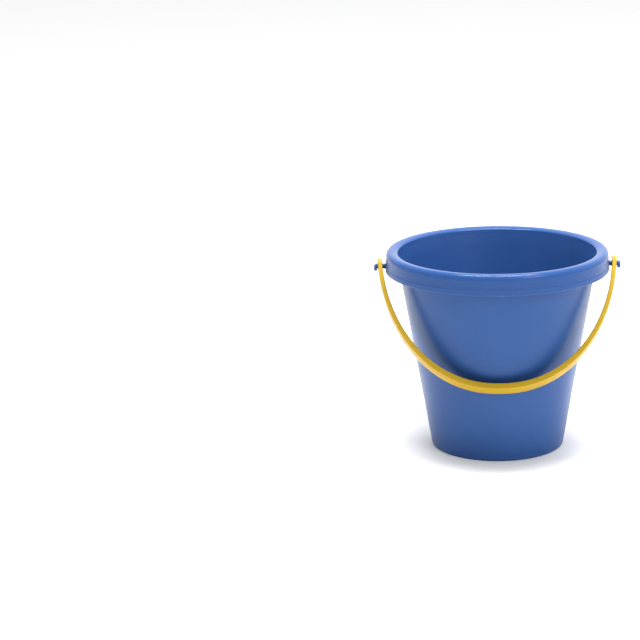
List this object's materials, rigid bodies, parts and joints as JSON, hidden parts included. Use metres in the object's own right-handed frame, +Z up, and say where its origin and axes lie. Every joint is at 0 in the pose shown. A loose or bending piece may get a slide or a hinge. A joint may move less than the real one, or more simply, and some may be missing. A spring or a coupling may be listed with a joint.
{
  "type": "sand bucket",
  "caption": "Tapered round tub with a rolled rim and skirt, a foot ring and moulded side pegs that carry a flat-band bail handle, which swings over the mouth from one side to the other.",
  "frame": {"origin": "centre of the plane that the tub stands on, on the tub's axis", "axes": "+Z up along the tub's axis; X through the two pegs of the handle; the handle hangs on the -Y side at rest"},
  "size_m": [0.2212, 0.2006, 0.1808],
  "materials": {
    "tub_plastic": "smooth moulded polypropylene with a soft gloss, fine turning rings on the outside wall",
    "handle_plastic": "smooth moulded polypropylene with a soft gloss"
  },
  "bodies": {
    "tub": {"tub": "tub_plastic"},
    "handle": {"handle": "handle_plastic"}
  },
  "joints": [
    {"name": "handle_swing", "type": "hinge", "parent": "tub", "child": "handle", "pos_m": [0, 0, 0.1666], "axis": [-1, 0, 0], "range_deg": [0, 279.6]}
  ]
}
